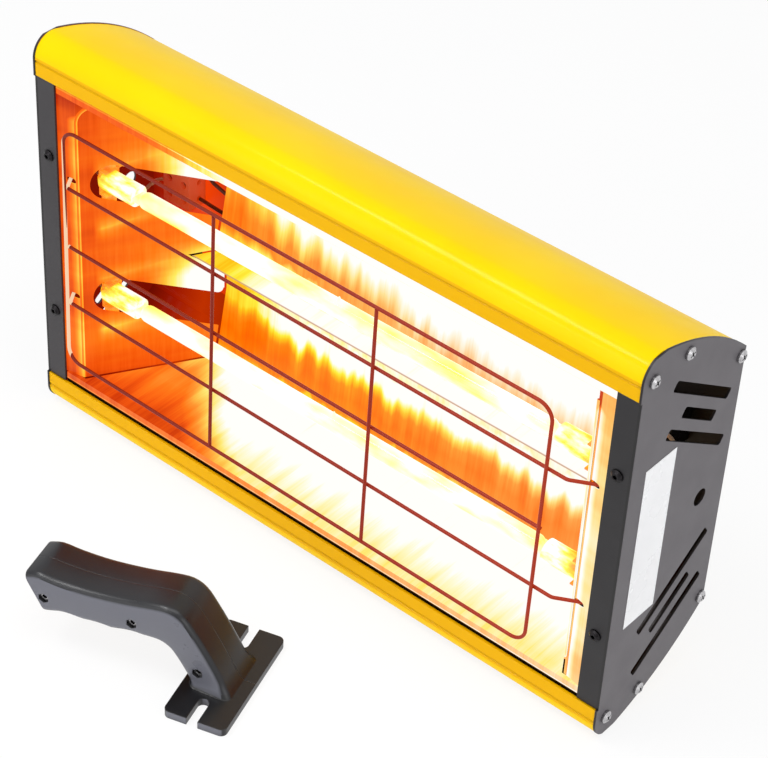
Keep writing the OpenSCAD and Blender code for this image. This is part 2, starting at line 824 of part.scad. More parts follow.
// Outer and inner points of the handle's side view, from the foot to the grip's end
handle_outer = [
    [-10.5, 3], [-6, 14], [2, 29], [11, 43.5], [18.5, 53.5], [27, 57.5],
    [38, 56.5], [52, 53.5], [68, 51], [84, 49.5], [100, 49.5], [112, 50.5], [120, 48]];
handle_inner = [
    [12.5, 3], [14.5, 7], [18.5, 14], [23, 21.5], [27, 26.8], [32, 29.8],
    [38, 30.5], [48, 29.5], [60, 27.6], [73, 26.4], [86, 26], [98, 25], [107, 23]];
steps_per_point = 3;
outer_line = smooth_path(handle_outer, steps_per_point);
inner_line = smooth_path(handle_inner, steps_per_point);
// Screws of the handle, in its side view
handle_screw_xz = [[9.4, 16.4], [51, 38], [107.6, 34.4]];

// Depth of the shallow finger grooves at length x along the grip
function finger_groove(x) = x < 44 || x > 103 ? 0 : 1.1 * abs(sin((x - 44) * 180 / 19.6));

// How far the neck flares out at height z above the foot's underside
function flare(z) = 3 * pow(max(0, 1 - (z - 4) / 8), 2);

// Half of a rounded cross-section, from the parting plane out to half width and back
function half_ring(outer, inner, half_w, cut, r) = let (
    f = cut > 0 ? 0 : 1,
    d = (outer - inner) / norm(outer - inner),
    a = outer - d * (cut - f * flare(outer[1])),
    b = inner + d * (cut + finger_groove(inner[0]) - f * flare(inner[1])),
    w = half_w + f * flare((outer[1] + inner[1]) / 2))
    concat(
        [[a[0], 0, a[1]]],
        [for (t = [0:4]) let (q = t * 22.5, p = a - d * r * (1 - cos(q)))
            [p[0], w - r + r * sin(q), p[1]]],
        [for (t = [0:4]) let (q = 90 - t * 22.5, p = b + d * r * (1 - cos(q)))
            [p[0], w - r + r * sin(q), p[1]]],
        [[b[0], 0, b[1]]]);

// Loft of one half of the handle between two steps of its side view
module handle_loft(w, cut, r, from, to) {
    last = min(to, len(outer_line) - 1);
    skin([for (i = [from:last]) half_ring(outer_line[i], inner_line[i], w, cut, r)]);
}

module foot_half() {
    difference() {
        union() {
            translate([-foot_w / 2, 0, 0]) cube([foot_w, foot_l / 2 - 4, foot_t]);
            translate([-foot_w / 2 + 4, 0, 0]) cube([foot_w - 8, foot_l / 2, foot_t]);
            for (m = [-1, 1]) translate([m * (foot_w / 2 - 4), foot_l / 2 - 4, 0]) cylinder(r = 4, h = foot_t);
        }
        translate([1, 23 + foot_slot_w / 2, -1]) {
            cylinder(r = foot_slot_w / 2, h = foot_t + 6);
            translate([-foot_slot_w / 2, 0, 0]) cube([foot_slot_w, foot_l, foot_t + 6]);
        }
    }
}

module handle_half(nut_side) {
    half_w = grip_w / 2;
    difference() {
        union() {
            difference() {
                union() {
                    foot_half();
                    handle_loft(half_w, 0, 4.5, 0, 99);
                }
                translate([0, -0.01, 0])
                    handle_loft(half_w - grip_wall, grip_wall, 2.2, 4, len(outer_line) - 3);
            }
            intersection() {
                for (s = handle_screw_xz) translate([s[0], 0, s[1]]) rotate([-90, 0, 0]) cylinder(r = 4.8, h = half_w - 1);
                handle_loft(half_w - 1, 1, 3, 1, len(outer_line) - 1);
            }
        }
        for (s = handle_screw_xz) translate([s[0], 0, s[1]]) rotate([-90, 0, 0]) {
            translate([0, 0, -1]) cylinder(r = 1.65, h = half_w + 2);
            if (nut_side) {
                translate([0, 0, half_w - 4.2]) rotate(30) cylinder(r = 3.5, h = 6, $fn = 6);
            } else {
                translate([0, 0, half_w - 3.4]) cylinder(r = 3.3, h = 6);
            }
        }
    }
}

module at_handle() {
    translate(handle_at) rotate([0, 0, 180 + handle_turn]) children();
}

module handle_left_half() {
    color("dimgray") at_handle() handle_half(true);
}

module handle_right_half() {
    color("dimgray") at_handle() mirror([0, 1, 0]) handle_half(false);
}

module handle_screws() {
    color("silver") at_handle() for (s = handle_screw_xz) {
        translate([s[0], -grip_w / 2 + 3.4, s[1]]) rotate([90, 0, 0]) pan_screw(3, 1.5, grip_w - 9);
    }
}

module handle_nuts() {
    color("silver") at_handle() for (s = handle_screw_xz) {
        translate([s[0], grip_w / 2 - 4.1, s[1]]) rotate([-90, 0, 0]) difference() {
            rotate(30) cylinder(r = 3.3, h = 2.4, $fn = 6);
            translate([0, 0, -1]) cylinder(r = 1.55, h = 6);
        }
    }
}

top_shell();
bottom_shell();
left_end_cap();
right_end_cap();
left_cap_screws();
right_cap_screws();
left_flange_screws();
right_flange_screws();
back_panel();
back_panel_screws();
handle_weld_nuts();
main_reflector();
left_end_reflector();
right_end_reflector();
upper_quartz_tube();
lower_quartz_tube();
upper_filament();
lower_filament();
upper_tube_ceramics();
lower_tube_ceramics();
upper_tube_clips();
lower_tube_clips();
guard_frame();
guard_rods();
guard_crossbars();
upper_switch_housing();
lower_switch_housing();
upper_rocker();
lower_rocker();
gland_body();
gland_cap();
gland_locknut();
terminal_block();
terminal_screws();
earth_stud();
tube_leads();
switch_leads();
rating_label();
handle_left_half();
handle_right_half();
handle_screws();
handle_nuts();
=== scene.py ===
import math

import bpy
from mathutils import Matrix, Vector


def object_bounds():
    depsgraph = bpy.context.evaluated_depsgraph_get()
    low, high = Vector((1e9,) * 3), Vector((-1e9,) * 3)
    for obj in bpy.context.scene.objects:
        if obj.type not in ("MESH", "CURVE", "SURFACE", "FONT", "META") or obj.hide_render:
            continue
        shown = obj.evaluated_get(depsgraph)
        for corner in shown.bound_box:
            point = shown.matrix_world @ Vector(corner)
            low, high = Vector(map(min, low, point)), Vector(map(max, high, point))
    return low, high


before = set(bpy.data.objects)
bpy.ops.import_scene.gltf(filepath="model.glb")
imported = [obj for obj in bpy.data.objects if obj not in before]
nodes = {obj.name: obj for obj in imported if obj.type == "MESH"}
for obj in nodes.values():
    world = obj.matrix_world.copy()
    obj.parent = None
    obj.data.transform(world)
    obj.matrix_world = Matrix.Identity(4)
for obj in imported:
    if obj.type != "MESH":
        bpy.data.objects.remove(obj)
cad_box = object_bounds()
FLOOR_Z = cad_box[0][2]

# Places on the lamp in millimetres: X from its middle, depth behind its front plane, Z from its middle
MM_PER_M = 1000.0
ORIGIN_DEPTH = 98.5

# The shells' big arc, their front wall, rear lip and front lip
ARC_DEPTH = -21.56
ARC_HEIGHT = -36.07
ARC_INSIDE = 176.0
FRONT_WALL_BACK = 17.0
REAR_LIP_DEPTH = 93.0
LIP_HEIGHT = 124.2
LIP_DEPTH = 16.0

# The end caps' side sheet, its rim and the back of the front flange
CAP_INSIDE = 218.7
CAP_OUTSIDE = 219.7
RIM_FROM = 218.2
RIM_TO = 219.8
FLANGE_BACK = 3.2

# The main reflector's flat floors, hems and ridge
UPPER_FROM = -15.0
FLOOR_FROM = 103.9
HEM_FROM = 105.05
HEM_FOLD = 109.2
HEM_GAP = 109.8
RIDGE_MIDDLE = -24.0
RIDGE_REACH = 40.0
RIDGE_BACK = 78.0
CREST_DEPTH = 65.2
CREST_Z = -20.9

# The end reflectors' slanted wall, its bead and the fingers between its slots
WALL_START = 5.4
WALL_PER_DEPTH = 1.1688
BEAD_INSET = 10.0
BEAD_CORNER_Z = 88.0
FINGERS = [(22.0, 76.0), (-62.0, -10.0)]

# The guard's left loop, the top of the handle's foot and the turn of its grip
LEFT_LOOP = -191.5
FOOT_TOP = -129.5
GRIP_TURN = math.radians(17.2)

# Limits on a surface's own direction that tell its sides apart, and the way the right slanted wall faces
REAR_SIDE = 0.3
PANEL_INSIDE = -0.5
FOOT_UP = 0.5
SHEET_FRONT = -0.2
SHEET_INWARD = -0.6
WALL_FRONT = -0.6
WALL_FACING = (-0.85, -0.52)

BLACK = (0.0, 0.0, 0.0, 1.0)
WHITE = (1.0, 1.0, 1.0, 1.0)


# Node helpers
def srgb(r, g, b):
    def lin(c):
        c = c / 255.0
        return c / 12.92 if c <= 0.04045 else ((c + 0.055) / 1.055) ** 2.4

    return (lin(r), lin(g), lin(b), 1.0)


class Tree:
    """A material's node tree with short calls for what every material here needs."""

    def __init__(self, name):
        self.mat = bpy.data.materials.new(name)
        self.mat.use_nodes = True
        self.nt = self.mat.node_tree
        self.nt.nodes.clear()
        self.out = self.add("ShaderNodeOutputMaterial")
        self.bsdf = self.add("ShaderNodeBsdfPrincipled")
        self.link(self.bsdf.outputs[0], self.out.inputs["Surface"])
        self.texture = self.add("ShaderNodeTexCoord")
        self.coord = self.texture.outputs["Object"]

    def add(self, kind, **values):
        n = self.nt.nodes.new(kind)
        for k, v in values.items():
            setattr(n, k, v)
        return n

    def link(self, a, b):
        self.nt.links.new(a, b)

    def feed(self, socket, value):
        """Sets a socket to a number or colour, or links an output to it."""
        if isinstance(value, (int, float, tuple)):
            socket.default_value = value
        else:
            self.link(value, socket)

    def set(self, **values):
        """Sets the shader's own sockets."""
        for k, v in values.items():
            self.bsdf.inputs[k.replace("_", " ")].default_value = v

    def into(self, name, value):
        """Links an output to the shader's socket of that name."""
        self.link(value, self.bsdf.inputs[name])

    def mapped(self, scale):
        m = self.add("ShaderNodeMapping")
        m.inputs["Scale"].default_value = scale
        self.link(self.coord, m.inputs["Vector"])
        return m.outputs[0]

    def noise(self, scale=1.0, detail=2.0, rough=0.5, stretch=None):
        """A noise of about scale features a metre, or that times stretch along X, Y and Z."""
        n = self.add("ShaderNodeTexNoise")
        n.inputs["Scale"].default_value = scale
        n.inputs["Detail"].default_value = detail
        n.inputs["Roughness"].default_value = rough
        self.link(self.mapped(stretch) if stretch else self.coord, n.inputs["Vector"])
        return n.outputs["Fac"]

    def ramp(self, fac, stops):
        r = self.add("ShaderNodeValToRGB")
        els = r.color_ramp.elements
        while len(els) < len(stops):
            els.new(0.5)
        for e, (pos, col) in zip(els, stops):
            e.position = pos
            e.color = col if len(col) == 4 else (*col, 1.0)
        self.link(fac, r.inputs["Fac"])
        return r.outputs["Color"]

    def tones(self, noise, dark, light, low=0.3):
        """Two colours, shared out by a noise."""
        return self.ramp(noise, [(low, dark), (1.0 - low, light)])

    def range(self, value, a, b, lo, hi):
        r = self.add("ShaderNodeMapRange")
        for k, v in zip(("From Min", "From Max", "To Min", "To Max"), (a, b, lo, hi)):
            r.inputs[k].default_value = v
        self.link(value, r.inputs["Value"])
        return r.outputs[0]

    def spread(self, noise, lo, hi):
        """The middle of a noise, stretched to run from one value to another."""
        return self.range(noise, 0.3, 0.7, lo, hi)

    def sway(self, noise, amount):
        """A noise as a gentle shift to either side of nothing."""
        return self.range(noise, 0.2, 0.8, -amount, amount)

    def math(self, op, *values):
        m = self.add("ShaderNodeMath", operation=op)
        for i, v in enumerate(values):
            self.feed(m.inputs[i], v)
        return m.outputs[0]

    def plus(self, *values):
        out = values[0]
        for v in values[1:]:
            out = self.math("ADD", out, v)
        return out

    def times(self, *values):
        out = values[0]
        for v in values[1:]:
            out = self.math("MULTIPLY", out, v)
        return out

    def minus(self, a, b):
        return self.math("SUBTRACT", a, b)

    def slope(self, value, factor, offset):
        return self.math("MULTIPLY_ADD", value, factor, offset)

    def above(self, value, limit):
        return self.math("GREATER_THAN", value, limit)

    def below(self, value, limit):
        return self.math("LESS_THAN", value, limit)

    def outside(self, mask):
        return self.minus(1.0, mask)

    def size(self, value):
        return self.math("ABSOLUTE", value)

    def length(self, a, b):
        return self.math("SQRT", self.slope(a, a, self.times(b, b)))

    def mix(self, fac, a, b, blend="MIX"):
        """Two colours mixed: the node's colours are its sockets 6 and 7 and its output 2."""
        m = self.add("ShaderNodeMix", data_type="RGBA", blend_type=blend)
        for i, v in ((0, fac), (6, a), (7, b)):
            self.feed(m.inputs[i], v)
        return m.outputs[2]

    def lerp(self, fac, a, b):
        """Two numbers mixed: the node's numbers are its sockets 2 and 3 and its output 0."""
        m = self.add("ShaderNodeMix", data_type="FLOAT")
        for i, v in ((0, fac), (2, a), (3, b)):
            self.feed(m.inputs[i], v)
        return m.outputs[0]

    def profile(self, value, points):
        """A value read from points of place and height, straight in between."""
        lo, hi = points[0][0], points[-1][0]
        stops = [((p - lo) / (hi - lo), (g, g, g)) for p, g in points]
        return self.ramp(self.range(value, lo, hi, 0.0, 1.0), stops)

    def bell(self, value, centre, width):
        """One at the centre, fading to nothing at width on either side."""
        return self.range(self.size(self.minus(value, centre)), 0.0, width, 1.0, 0.0)

    def shaded(self, colour, distance=0.004, low=0.25):
        """The colour with painted shade: darker in recesses and narrow gaps."""
        ao = self.add("ShaderNodeAmbientOcclusion", samples=4)
        ao.inputs["Distance"].default_value = distance
        shade = self.range(ao.outputs["AO"], 0.25, 0.85, low, 1.0)
        return self.mix(1.0, colour, shade, "MULTIPLY")

    def bump(self, height, distance, strength, normal=None):
        b = self.add("ShaderNodeBump")
        b.inputs["Strength"].default_value = strength
        b.inputs["Distance"].default_value = distance
        self.link(height, b.inputs["Height"])
        if normal is not None:
            self.link(normal, b.inputs["Normal"])
        return b.outputs[0]

    def bevel(self, radius):
        b = self.add("ShaderNodeBevel", samples=4)
        b.inputs["Radius"].default_value = radius
        return b.outputs[0]

    def split(self, vector):
        s = self.add("ShaderNodeSeparateXYZ")
        self.link(vector, s.inputs[0])
        return s.outputs[:]

    def place(self):
        """X, depth behind the front plane and Z of the shaded point, in millimetres."""
        x, y, z = self.split(self.coord)
        return self.times(x, MM_PER_M), self.slope(y, MM_PER_M, ORIGIN_DEPTH), self.times(z, MM_PER_M)

    def facing(self):
        """The surface's own direction, as X, Y and Z."""
        return self.split(self.texture.outputs["Normal"])


# Paint and moulded plastic
def finish(name, dark, light, rough=(0.36, 0.46), grain=900.0, depth=0.00003, edge=0.0006, specular=0.5):
    """Powder coat or moulded plastic: two close tones, a fine grain, softened edges and painted shade in
    recesses.
    """
    t = Tree(name)
    t.tone = t.tones(t.noise(scale=14.0, detail=3.0), dark, light, low=0.35)
    t.into("Base Color", t.shaded(t.tone))
    t.into("Roughness", t.spread(t.noise(scale=60.0, detail=4.0), *rough))
    rounded = t.bevel(edge) if edge else None
    t.into("Normal", t.bump(t.noise(scale=grain), depth, 0.6, rounded))
    t.set(Specular_IOR_Level=specular)
    return t


def coat(*args, **values):
    return finish(*args, **values).mat


def chamber_glow(t):
    """Painted dull red light on the walls of the left wiring chamber, from the tube ends."""
    x = t.place()[0]
    return t.ramp(t.range(x, -220.0, -140.0, 0.0, 1.0), [
        (0.0, (0.2, 0.004, 0.0)), (0.3, (0.55, 0.014, 0.0)), (0.6, (0.85, 0.05, 0.0)),
        (0.9, (0.6, 0.03, 0.0)), (1.0, (0.0, 0.0, 0.0))])


def shade_and_glow_inside(t, inner, tone, inside, glow, distance=0.003):
    """Paint on the outside, and inside painted shade: a dark wall in the chamber's painted red light."""
    t.into("Base Color", t.mix(inner, t.shaded(tone, distance), inside))
    t.into("Emission Color", t.mix(inner, BLACK, chamber_glow(t)))
    t.set(Emission_Strength=glow)


def shell_paint():
    """Yellow coat, with painted shade that makes the front lips a deeper yellow."""
    t = finish("yellow_coat", srgb(252, 206, 0), srgb(255, 213, 1), rough=(0.4, 0.48), grain=1400.0,
               depth=0.00002, edge=0.0008, specular=0.02)
    y, z = t.place()[1:]
    height = t.size(z)
    radius = t.length(t.minus(y, ARC_DEPTH), t.minus(height, ARC_HEIGHT))
    rear_face = t.times(t.above(y, REAR_LIP_DEPTH), t.above(t.facing()[1], REAR_SIDE))
    inner = t.times(t.below(radius, ARC_INSIDE), t.above(y, FRONT_WALL_BACK), t.outside(rear_face))
    # Painted shade: the front-facing lips a deeper yellow than the rest of the coat
    lip = t.times(t.below(height, LIP_HEIGHT), t.below(y, LIP_DEPTH))
    tone = t.mix(lip, t.tone, srgb(240, 182, 0))
    # Inside: painted shade as a dark red-brown wall, with the chamber's painted red glow
    shade_and_glow_inside(t, inner, tone, srgb(40, 10, 4), glow=0.6)
    t.set(Coat_Weight=0.12, Coat_Roughness=0.12)
    return t.mat


def cap_paint():
    """Dark grey coat, with painted light on the sides to make them paler, and painted shade to darken the
    right flange and blacken the bends.
    """
    t = finish("grey_coat", srgb(46, 43, 46), srgb(53, 50, 53), rough=(0.42, 0.5), grain=2200.0,
               depth=0.00004, edge=0.0005, specular=0.4)
    x, y = t.place()[:2]
    across = t.size(x)
    inner = t.times(t.below(across, CAP_INSIDE), t.above(y, FLANGE_BACK))
    rim = t.times(t.above(across, RIM_FROM), t.below(across, RIM_TO))
    # Painted shade darkens the right flange, painted light makes the side sheets paler, and painted shade
    # turns the bends black
    tone = t.mix(t.above(x, 0.0), t.tone, srgb(25, 23, 26))
    tone = t.mix(t.above(across, CAP_OUTSIDE), tone, srgb(92, 88, 92))
    tone = t.mix(rim, tone, srgb(10, 9, 10))
    # Inside: painted shade as a near black wall, with the chamber's painted red glow
    shade_and_glow_inside(t, inner, tone, srgb(12, 6, 6), glow=0.8)
    return t.mat


def panel_paint():
    t = finish("panel_coat", srgb(58, 56, 59), srgb(64, 62, 65), rough=(0.45, 0.55), grain=2000.0,
               depth=0.00004, edge=0.0004)
    # Inner faces: painted shade as a near black wall, with the chamber's painted red glow
    inner = t.below(t.facing()[1], PANEL_INSIDE)
    shade_and_glow_inside(t, inner, t.tone, srgb(12, 6, 6), glow=1.0, distance=0.004)
    return t.mat


def block_plastic():
    t = finish("terminal_plastic", srgb(150, 120, 100), srgb(165, 135, 112), rough=(0.4, 0.5))
    # Painted red glow of the chamber on the block, which is no lamp
    t.into("Emission Color", chamber_glow(t))
    t.set(Emission_Strength=0.5)
    return t.mat


def grip_plastic():
    """Black moulding, with painted light on the faces across the grip to make them paler, and painted shade
    to make the top of the foot darkest.
    """
    t = finish("handle_plastic", srgb(15, 16, 21), srgb(22, 23, 29), rough=(0.27, 0.34), grain=2600.0,
               depth=0.00002, edge=0.001, specular=0.45)
    z = t.place()[2]
    nx, ny, nz = t.facing()
    # Painted light makes the faces across the grip paler; painted shade darkens the top of the foot and,
    # deeply, the recesses
    across = t.size(t.slope(nx, math.sin(GRIP_TURN), t.times(ny, -math.cos(GRIP_TURN))))
    tone = t.mix(t.range(across, 0.8, 0.95, 0.0, 1.0), t.tone, srgb(106, 107, 116))
    tone = t.mix(t.times(t.below(z, FOOT_TOP), t.above(nz, FOOT_UP)), tone, srgb(12, 12, 15))
    t.into("Base Color", t.shaded(tone, low=0.1))
    return t.mat


# Metal
def metal(name, dark, light, rough):
    """Bare or plated metal with streaks, and painted shade that darkens its recesses."""
    t = Tree(name)
    streaks = t.noise(scale=18.0, detail=4.0, rough=0.6, stretch=(40.0, 40.0, 40.0))
    t.into("Base Color", t.shaded(t.tones(streaks, dark, light), distance=0.0018, low=0.06))
    t.into("Roughness", t.spread(streaks, *rough))
    t.into("Normal", t.bump(streaks, 0.00001, 0.5, t.bevel(0.0003)))
    t.set(Metallic=1.0)
    return t.mat


def guard_wire():
    """Guard wire in painted light: a red glow and colour, dark at the left and brighter at the right, and a
    painted pale highlight where the left loop is lit.
    """
    t = Tree("guard_wire")
    x = t.place()[0]
    along = t.range(x, -190.0, 190.0, 0.0, 1.0)
    mottle = t.noise(scale=18.0, detail=4.0, rough=0.6, stretch=(60.0, 60.0, 60.0))
    # Painted light: the wire's colour dark red at the left and brighter at the right
    tone = t.ramp(along, [
        (0.0, (0.10, 0.008, 0.004)), (0.45, (0.13, 0.01, 0.004)),
        (0.75, (0.16, 0.012, 0.004)), (1.0, (0.2, 0.02, 0.005))])
    t.into("Base Color", t.mix(t.spread(mottle, 0.0, 0.3), tone, (0.2, 0.03, 0.01, 1.0)))
    t.into("Roughness", t.spread(mottle, 0.3, 0.42))
    t.into("Normal", t.bump(mottle, 0.00001, 0.5))
    # Painted red glow along the wire, and a pale painted highlight on the left loop
    dull = t.ramp(along, [(0.0, (0.09, 0.003, 0.001)), (1.0, (0.19, 0.01, 0.002))])
    t.into("Emission Color", t.mix(t.below(x, LEFT_LOOP), dull, (0.8, 0.62, 0.4, 1.0)))
    t.set(Metallic=0.1, Specular_IOR_Level=0.2, Emission_Strength=1.0)
    return t.mat


# Glow of the tubes, and painted glow of their light on the sheet, ceramics and clips: a level from 0 to 1,
# read as a colour
YELLOW_GLOW = [
    (0.0, (0.07, 0.003, 0.0)), (0.2, (0.5, 0.018, 0.0)), (0.33, (0.86, 0.08, 0.0)),
    (0.45, (1.0, 0.17, 0.0)), (0.55, (1.0, 0.28, 0.006)), (0.66, (1.0, 0.56, 0.01)),
    (0.76, (1.0, 0.86, 0.05)), (0.86, (1.0, 0.95, 0.48)), (0.95, (1.0, 0.99, 0.96))]
PEACH_GLOW = [
    (0.0, (0.07, 0.003, 0.0)), (0.2, (0.5, 0.03, 0.006)), (0.33, (0.84, 0.12, 0.015)),
    (0.45, (0.98, 0.23, 0.03)), (0.55, (0.97, 0.34, 0.08)), (0.66, (0.96, 0.5, 0.19)),
    (0.76, (0.97, 0.7, 0.4)), (0.86, (0.99, 0.89, 0.7)), (0.95, (1.0, 0.99, 0.97))]

# Painted glow levels of the troughs' walls by Z: floor edge, orange, tube's glare, ridge, orange, glare.
# Then the level that the ridge's own front has in place of these
WALL_LEVELS = [
    (-112.0, 0.8), (-97.0, 0.72), (-93.0, 0.52), (-80.0, 0.46), (-70.0, 0.52), (-65.0, 0.66),
    (-61.0, 0.8), (-57.0, 0.97), (-48.0, 1.0), (-44.0, 0.86), (-36.0, 0.9), (-14.0, 0.95),
    (-6.0, 0.53), (5.0, 0.54), (12.0, 0.66), (20.0, 0.8), (28.0, 0.96), (45.0, 1.0), (118.0, 1.0)]
RIDGE_LEVEL = 0.97

# Painted glow levels of the slanted walls by the way along them from the front
SLANT_LEVELS = [(-10.0, 0.34), (3.0, 0.35), (20.0, 0.39), (60.0, 0.43), (95.0, 0.5)]

# Soft streaks of painted reflected light across the slanted walls: Z, half width and strength
REFLECTION_STREAKS = [(50.0, 15.0, 0.3), (8.0, 15.0, 0.32), (-30.0, 13.0, 0.24), (-70.0, 14.0, 0.28)]


def sheet_base(name):
    """Rolled aluminium sheet with three noises that run as streaks, ready for its painted glow."""
    t = Tree(name)
    t.streak = t.noise(stretch=(120.0, 10.0, 10.0))
    t.wide = t.noise(stretch=(48.0, 5.0, 5.0))
    t.fine = t.noise(rough=0.6, stretch=(900.0, 30.0, 30.0))
    t.into("Roughness", t.spread(t.wide, 0.25, 0.38))
    t.into("Normal", t.bump(t.fine, 0.00004, 0.4, t.bump(t.wide, 0.0008, 0.3)))
    t.set(Metallic=1.0, Emission_Strength=1.0)
    return t


def sheet_finish(t, glow, front, dark=None):
    """Puts the painted glow on the front over a warm painted tint, and dull metal below it, and paints a
    dark gap as shadow with no glow.
    """
    back = t.tones(t.fine, (0.05, 0.05, 0.052), (0.09, 0.09, 0.092))
    glow_tint = t.tones(t.fine, (0.05, 0.016, 0.004), (0.08, 0.026, 0.006))
    face = t.mix(front, back, glow_tint)
    lit = front
    # The dark gap is painted shadow: near black, with no glow
    if dark is not None:
        face = t.mix(dark, face, (0.004, 0.003, 0.003, 1.0))
        lit = t.times(front, t.outside(dark))
    t.into("Base Color", face)
    t.into("Emission Color", t.mix(lit, BLACK, glow))
    return t.mat


def glow_colour(t, level, peach):
    return t.mix(peach, t.ramp(level, YELLOW_GLOW), t.ramp(level, PEACH_GLOW))


def wall_glow(t, x, y, z, upper):
    """Painted reflected light: bands of orange and glare on the troughs' walls, with a jagged edge between
    them, dimmer towards the left end.
    """
    jag = t.plus(t.sway(t.streak, 5.0), t.sway(t.wide, 6.0))
    drift = t.times(upper, t.slope(x, 0.09, 5.1))
    level = t.profile(t.plus(z, jag, drift), WALL_LEVELS)
    level = t.plus(level, t.times(upper, t.range(x, -100.0, 20.0, 0.0, 0.1)))
    near_ridge = t.below(t.size(t.minus(z, RIDGE_MIDDLE)), RIDGE_REACH)
    level = t.lerp(t.times(near_ridge, t.below(y, RIDGE_BACK)), level, RIDGE_LEVEL)
    left_end = t.range(x, -132.0, -92.0, 0.3, 0.0)
    return t.minus(level, t.times(left_end, t.range(level, 0.5, 1.0, 0.1, 1.0)))


def floor_glow(t, x, y):
    """Painted reflected light: orange in the floors' left front corner, and glare from there on."""
    reach = t.slope(x, 0.025, t.slope(y, 0.025, 1.5))
    reach = t.plus(reach, t.sway(t.wide, 0.35))
    return t.minus(t.range(reach, -1.0, 0.15, 0.47, 1.0), t.range(y, 8.0, 40.0, 0.2, 0.0))


def main_sheet():
    t = sheet_base("main_sheet")
    x, y, z = t.place()
    ny, nz = t.facing()[1:]
    height = t.size(z)
    upper = t.above(z, UPPER_FROM)
    on_floor = t.above(height, FLOOR_FROM)
    on_hem = t.above(height, HEM_FROM)
    # Painted reflected glow of the tubes on the floors, walls and hems, with a painted highlight along the
    # hem's fold
    hem = t.lerp(upper, t.range(x, -200.0, 200.0, 0.3, 0.74), t.range(x, -130.0, -60.0, 0.36, 1.0))
    level = t.lerp(on_floor, wall_glow(t, x, y, z, upper), floor_glow(t, x, y))
    level = t.lerp(on_hem, level, hem)
    level = t.plus(level, t.times(t.bell(height, HEM_FOLD, 0.5), 0.3))
    level = t.plus(level, t.sway(t.fine, 0.03), t.sway(t.streak, 0.08))
    peach = t.lerp(upper, t.range(x, -20.0, 190.0, 0.0, 0.85), t.range(x, -130.0, 40.0, 0.1, 1.0))
    peach = t.lerp(on_floor, peach, 0.35)
    peach = t.lerp(on_hem, peach, t.lerp(upper, 1.0, 0.1))
    # A dimmer painted line along the ridge's crest, in place of the glow
    crest = t.times(t.bell(y, CREST_DEPTH, 1.3), t.bell(z, CREST_Z, 1.6))
    crest = t.math("MINIMUM", t.times(crest, 1.6), 0.85)
    glow = t.mix(crest, glow_colour(t, level, peach), (0.5, 0.3, 0.17, 1.0))
    inward = t.below(t.times(nz, t.math("SIGN", z)), SHEET_INWARD)
    front = t.math("MAXIMUM", t.below(ny, SHEET_FRONT), t.times(inward, t.below(ny, REAR_SIDE)))
    # The lowest strip of the lower hem is painted shadow: near black, with no glow
    return sheet_finish(t, glow, front, dark=t.below(z, -HEM_GAP))


def streak_glow(t, z, along):
    """Soft streaks of painted reflected light across the slanted wall, strongest near its bead."""
    rise = t.slope(along, -0.12, z)
    start = t.range(along, 9.0, 14.0, 0.0, 1.0)
    bands = []
    for place, width, strength in REFLECTION_STREAKS:
        band = t.bell(t.plus(rise, t.sway(t.wide, 2.0)), place, width)
        bands.append(t.times(band, band, start, t.range(along, 12.0, 62.0, strength, 0.05)))
    return t.plus(*bands)


def finger_glow(t, z, along):
    """Painted white glare on the ends of the fingers between the slots."""
    ends = []
    for low, high in FINGERS:
        span = t.times(t.range(z, low, low + 6.0, 0.0, 1.0), t.range(z, high - 26.0, high, 1.0, 0.0))
        ends.append(t.times(span, t.range(along, 40.0, 74.0, 0.0, 0.62)))
    return t.plus(*ends)


def bead_glow(t, z, along):
    """A painted pale highlight on the bead, which runs up the front, round a corner and back."""
    inset = t.math("MAXIMUM", t.minus(BEAD_INSET, along), 0.0)
    rise = t.math("MAXIMUM", t.minus(z, BEAD_CORNER_Z), 0.0)
    line = t.bell(t.length(inset, rise), BEAD_INSET, 1.5)
    return t.times(line, t.range(along, 10.0, 50.0, 1.0, 0.0), t.above(along, -2.5), 0.4)


def end_sheet(name, side):
    """The slanted wall at one end with its painted glow, where side is -1 at the left and 1 at the right.
    """
    t = sheet_base(name)
    y, z = t.place()[1:]
    nx, ny = t.facing()[:2]
    along = t.times(t.minus(y, WALL_START), WALL_PER_DEPTH)
    level = t.profile(along, SLANT_LEVELS)
    # The painted glow dims towards the top rear corner and towards the bottom
    top_corner = t.times(t.range(z, 40.0, 105.0, 0.0, 0.12), t.range(y, 10.0, 60.0, 1.0, 0.0))
    level = t.minus(level, top_corner)
    level = t.minus(level, t.range(z, -110.0, -75.0, 0.07, 0.0))
    clouds = t.noise(detail=3.0, stretch=(6.0, 6.0, 45.0))
    level = t.plus(level, streak_glow(t, z, along), finger_glow(t, z, along), bead_glow(t, z, along))
    level = t.plus(level, t.sway(t.fine, 0.02), t.spread(clouds, -0.07, 0.07))
    if side > 0:
        level = t.plus(level, t.times(t.below(along, -0.5), 0.42))
        peach = t.range(t.wide, 0.2, 0.8, 0.5, 1.0)
    else:
        peach = t.range(t.fine, 0.2, 0.8, 0.1, 0.3)
    turned = t.slope(nx, WALL_FACING[0] * side, t.times(ny, WALL_FACING[1]))
    return sheet_finish(t, glow_colour(t, level, peach), t.above(turned, WALL_FRONT))


def glowing(name, levels, patches, scale, rough=0.35):
    """Something that glows in patches, with a level for each distance from the middle: the tubes' own
    light, and painted glow on parts that are no lamps.
    """
    t = Tree(name)
    n = t.noise(detail=3.0, stretch=(scale, scale * 2.5, scale * 2.5))
    level = t.plus(t.profile(t.size(t.place()[0]), levels), t.spread(n, -patches, patches))
    t.into("Emission Color", t.ramp(level, YELLOW_GLOW))
    t.into("Base Color", t.tones(n, (0.3, 0.12, 0.04), (0.4, 0.18, 0.06)))
    t.into("Normal", t.bump(n, 0.00005, 0.3))
    t.set(Roughness=rough, Emission_Strength=1.0)
    return t.mat


